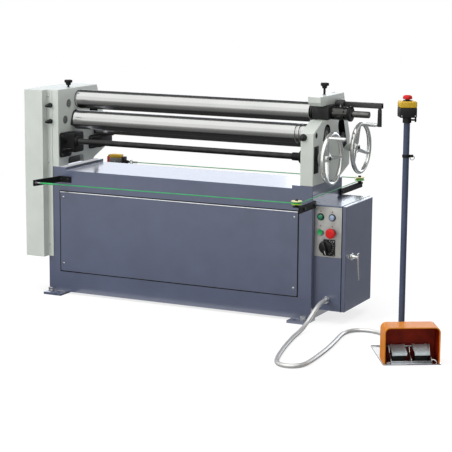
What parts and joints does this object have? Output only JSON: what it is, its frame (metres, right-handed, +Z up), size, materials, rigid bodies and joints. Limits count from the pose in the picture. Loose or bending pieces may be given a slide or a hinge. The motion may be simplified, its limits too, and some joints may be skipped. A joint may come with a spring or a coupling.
{
  "type": "plate rolling machine",
  "caption": "Powered plate rolling machine with pinch rolls and a rear bending roll on a cabinet base, handwheels, trip wire, control box and a foot-switch station on a conduit.",
  "frame": {"origin": "on the floor, at the middle of the four anchor holes of the base", "axes": "+X along the rolls to the control box end, +Y to the back, +Z up"},
  "size_m": [2.3323, 1.4321, 1.128],
  "materials": {
    "light_grey_paint": "satin machine enamel",
    "slate_paint": "satin powder coat",
    "roll_steel": "ground and polished",
    "bright_chrome": "polished",
    "black_paint": "satin black",
    "black_iron": "black oxide",
    "bronze": "turned bronze",
    "steel": "machined steel",
    "zinc": "zinc plated",
    "panel_grey": "brushed plate",
    "black_plastic": "moulded",
    "lamp_lens": "clear lens",
    "green_plastic": "moulded",
    "red_plastic": "moulded",
    "yellow_plastic": "moulded",
    "orange_paint": "gloss enamel",
    "conduit_grey": "ribbed flexible conduit",
    "wire_green": "plastic-covered steel wire",
    "pulley_plastic": "moulded",
    "motor_blue": "enamel",
    "treadle_aluminium": "cast and brushed"
  },
  "bodies": {
    "machine": {"base_cabinet": "slate_paint", "fasteners": "zinc", "front_panel": "slate_paint", "left_frame": "light_grey_paint", "right_frame": "light_grey_paint", "bearing_cap": "light_grey_paint", "gear_cover": "light_grey_paint", "frame_plugs": "steel", "lock_bolts": "black_iron", "left_bush": "bronze", "shaft_housings": "black_paint", "motor": "motor_blue", "reducer": "motor_blue", "drive_chain": "steel", "control_box": "slate_paint", "control_plate": "panel_grey", "indicator_lamps": "lamp_lens", "contactor_rack": "black_plastic", "cable_glands": "zinc", "conduit": "conduit_grey", "wire_arms": "black_paint", "trip_wire": "wire_green", "rope_switch": "yellow_plastic", "pedal_base": "zinc", "pedal_guard": "orange_paint", "post": "slate_paint", "estop_box": "black_plastic", "estop_lid": "yellow_plastic"},
    "upper_bearing": {"upper_block": "black_iron"},
    "upper_roller": {"upper_roll": "roll_steel", "upper_collar": "black_iron"},
    "upper_drive_gear": {"upper_gear": "steel"},
    "lower_lift": {"lower_slides": "black_iron"},
    "lower_roller": {"lower_roll": "roll_steel", "lower_gear": "steel"},
    "rear_lift": {"rear_slides": "black_iron"},
    "rear_roller": {"rear_roll": "roll_steel"},
    "front_adjuster": {"front_handwheel": "bright_chrome", "front_shaft": "steel"},
    "rear_adjuster": {"rear_handwheel": "bright_chrome", "rear_shaft": "steel"},
    "pinion": {"pinion_shaft": "steel"},
    "drive": {"drive_sprocket": "steel"},
    "cap_screw": {"cap_knob": "black_plastic"},
    "left_screw": {"left_knob": "black_plastic"},
    "lever": {"release_lever": "black_paint"},
    "door": {"box_door": "slate_paint"},
    "door_latch": {"door_handle": "bright_chrome"},
    "rotary_switch": {"main_switch": "black_plastic"},
    "start": {"start_button": "green_plastic"},
    "stop": {"stop_button": "red_plastic"},
    "post_stop": {"estop_button": "red_plastic"},
    "pedal_left": {"left_pedal": "treadle_aluminium"},
    "pedal_right": {"right_pedal": "treadle_aluminium"},
    "pulley_front": {"front_pulley": "pulley_plastic"},
    "pulley_rear": {"rear_pulley": "pulley_plastic"},
    "nut_lower_left": {"lower_nut_left": "bronze"},
    "nut_lower_right": {"lower_nut_right": "bronze"},
    "nut_rear_left": {"rear_nut_left": "bronze"},
    "nut_rear_right": {"rear_nut_right": "bronze"}
  },
  "joints": [
    {"name": "upper_swing", "type": "hinge", "parent": "machine", "child": "upper_bearing", "pos_m": [-0.6875, 0.0126, 0.972], "axis": [0, 0, -1], "range_deg": [0, 8]},
    {"name": "upper_spin", "type": "hinge", "parent": "upper_bearing", "child": "upper_roller", "pos_m": [0, 0.0126, 0.972], "axis": [1, 0, 0], "continuous": true},
    {"name": "upper_gear_spin", "type": "hinge", "parent": "machine", "child": "upper_drive_gear", "pos_m": [-0.6875, 0.0126, 0.972], "axis": [1, 0, 0], "continuous": true},
    {"name": "lower_slide", "type": "slide", "parent": "machine", "child": "lower_lift", "axis": [0, 0.3322, 0.9432], "range_m": [0, 0.00551]},
    {"name": "lower_spin", "type": "hinge", "parent": "lower_lift", "child": "lower_roller", "pos_m": [0, -0.02284, 0.87136], "axis": [1, 0, 0], "continuous": true},
    {"name": "rear_slide", "type": "slide", "parent": "machine", "child": "rear_lift", "axis": [0, -0.36, 0.933], "range_m": [0, 0.08001]},
    {"name": "rear_spin", "type": "hinge", "parent": "rear_lift", "child": "rear_roller", "pos_m": [0, 0.186, 0.825], "axis": [1, 0, 0], "continuous": true},
    {"name": "front_wheel_turn", "type": "hinge", "parent": "machine", "child": "front_adjuster", "pos_m": [0, -0.10083, 0.77033], "axis": [1, 0, 0], "range_deg": [0, 660]},
    {"name": "rear_wheel_turn", "type": "hinge", "parent": "machine", "child": "rear_adjuster", "pos_m": [0, 0.24431, 0.78501], "axis": [1, 0, 0], "range_deg": [0, 9600]},
    {"name": "pinion_spin", "type": "hinge", "parent": "machine", "child": "pinion", "pos_m": [-0.6875, 0.0951, 0.94197], "axis": [1, 0, 0], "continuous": true},
    {"name": "drive_spin", "type": "hinge", "parent": "machine", "child": "drive", "pos_m": [-0.6875, 0.06, 0.3], "axis": [1, 0, 0], "continuous": true},
    {"name": "cap_knob_turn", "type": "hinge", "parent": "machine", "child": "cap_screw", "pos_m": [0.6875, 0.0166, 1.05], "axis": [0, 0, 1], "range_deg": [-180, 180]},
    {"name": "left_knob_turn", "type": "hinge", "parent": "machine", "child": "left_screw", "pos_m": [-0.6875, -0.034, 1.04], "axis": [0, 0, 1], "range_deg": [-180, 180]},
    {"name": "lever_turn", "type": "hinge", "parent": "machine", "child": "lever", "pos_m": [0.6875, 0.0962, 1.008], "axis": [1, 0, 0], "range_deg": [0, 150]},
    {"name": "door_swing", "type": "hinge", "parent": "machine", "child": "door", "pos_m": [0.859, 0.194, 0.3], "axis": [0, 0, 1], "range_deg": [0, 110]},
    {"name": "door_handle_turn", "type": "hinge", "parent": "door", "child": "door_latch", "pos_m": [0.878, -0.0785, 0.313], "axis": [1, 0, 0], "range_deg": [0, 90]},
    {"name": "rotary_turn", "type": "hinge", "parent": "machine", "child": "rotary_switch", "pos_m": [0.78, -0.1565, 0.363], "axis": [0, 1, 0], "range_deg": [0, 90]},
    {"name": "start_press", "type": "slide", "parent": "machine", "child": "start", "axis": [0, 1, 0], "range_m": [0, 0.004], "stiffness_N_per_m": 500},
    {"name": "stop_press", "type": "slide", "parent": "machine", "child": "stop", "axis": [0, 1, 0], "range_m": [0, 0.004], "stiffness_N_per_m": 500},
    {"name": "post_stop_press", "type": "slide", "parent": "machine", "child": "post_stop", "axis": [0, 0, -1], "range_m": [0, 0.004], "stiffness_N_per_m": 800, "springref_m": -0.001},
    {"name": "pedal_left_press", "type": "hinge", "parent": "machine", "child": "pedal_left", "pos_m": [1.30482, -0.62516, 0.058], "axis": [0.866, 0.5, 0], "range_deg": [0, 12], "stiffness_Nm_per_rad": 12, "springref_deg": -2.86},
    {"name": "pedal_right_press", "type": "hinge", "parent": "machine", "child": "pedal_right", "pos_m": [1.38969, -0.57617, 0.058], "axis": [0.866, 0.5, 0], "range_deg": [0, 12], "stiffness_Nm_per_rad": 12, "springref_deg": -2.86},
    {"name": "pulley_front_spin", "type": "hinge", "parent": "machine", "child": "pulley_front", "pos_m": [0.70656, -0.342, 0.594], "axis": [0, 0, 1], "continuous": true},
    {"name": "pulley_rear_spin", "type": "hinge", "parent": "machine", "child": "pulley_rear", "pos_m": [0.72743, 0.4, 0.609], "axis": [0, 0, 1], "continuous": true},
    {"name": "lower_nut_left_turn", "type": "hinge", "parent": "machine", "child": "nut_lower_left", "pos_m": [-0.6875, -0.0631, 0.75704], "axis": [0, 0.3322, 0.9432], "range_deg": [0, 166]},
    {"name": "rear_nut_left_turn", "type": "hinge", "parent": "machine", "child": "nut_rear_left", "pos_m": [-0.6875, 0.20699, 0.77061], "axis": [0, -0.36, 0.933], "range_deg": [0, 2401]},
    {"name": "lower_nut_right_turn", "type": "hinge", "parent": "machine", "child": "nut_lower_right", "pos_m": [0.6875, -0.0631, 0.75704], "axis": [0, 0.3322, 0.9432], "range_deg": [0, 166]},
    {"name": "rear_nut_right_turn", "type": "hinge", "parent": "machine", "child": "nut_rear_right", "pos_m": [0.6875, 0.20699, 0.77061], "axis": [0, -0.36, 0.933], "range_deg": [0, 2401]}
  ],
  "couplings": [
    {"joint": "upper_gear_spin", "follows": "upper_spin", "ratio": 1},
    {"joint": "lower_spin", "follows": "upper_spin", "ratio": -1},
    {"joint": "pinion_spin", "follows": "upper_spin", "ratio": -1.2308},
    {"joint": "drive_spin", "follows": "upper_spin", "ratio": -1.8462},
    {"joint": "lower_slide", "follows": "front_wheel_turn", "m_per_rad": 0.00047746},
    {"joint": "rear_slide", "follows": "rear_wheel_turn", "m_per_rad": 0.00047746},
    {"joint": "lower_nut_left_turn", "follows": "front_wheel_turn", "ratio": 0.25},
    {"joint": "rear_nut_left_turn", "follows": "rear_wheel_turn", "ratio": 0.25},
    {"joint": "lower_nut_right_turn", "follows": "front_wheel_turn", "ratio": 0.25},
    {"joint": "rear_nut_right_turn", "follows": "rear_wheel_turn", "ratio": 0.25}
  ]
}
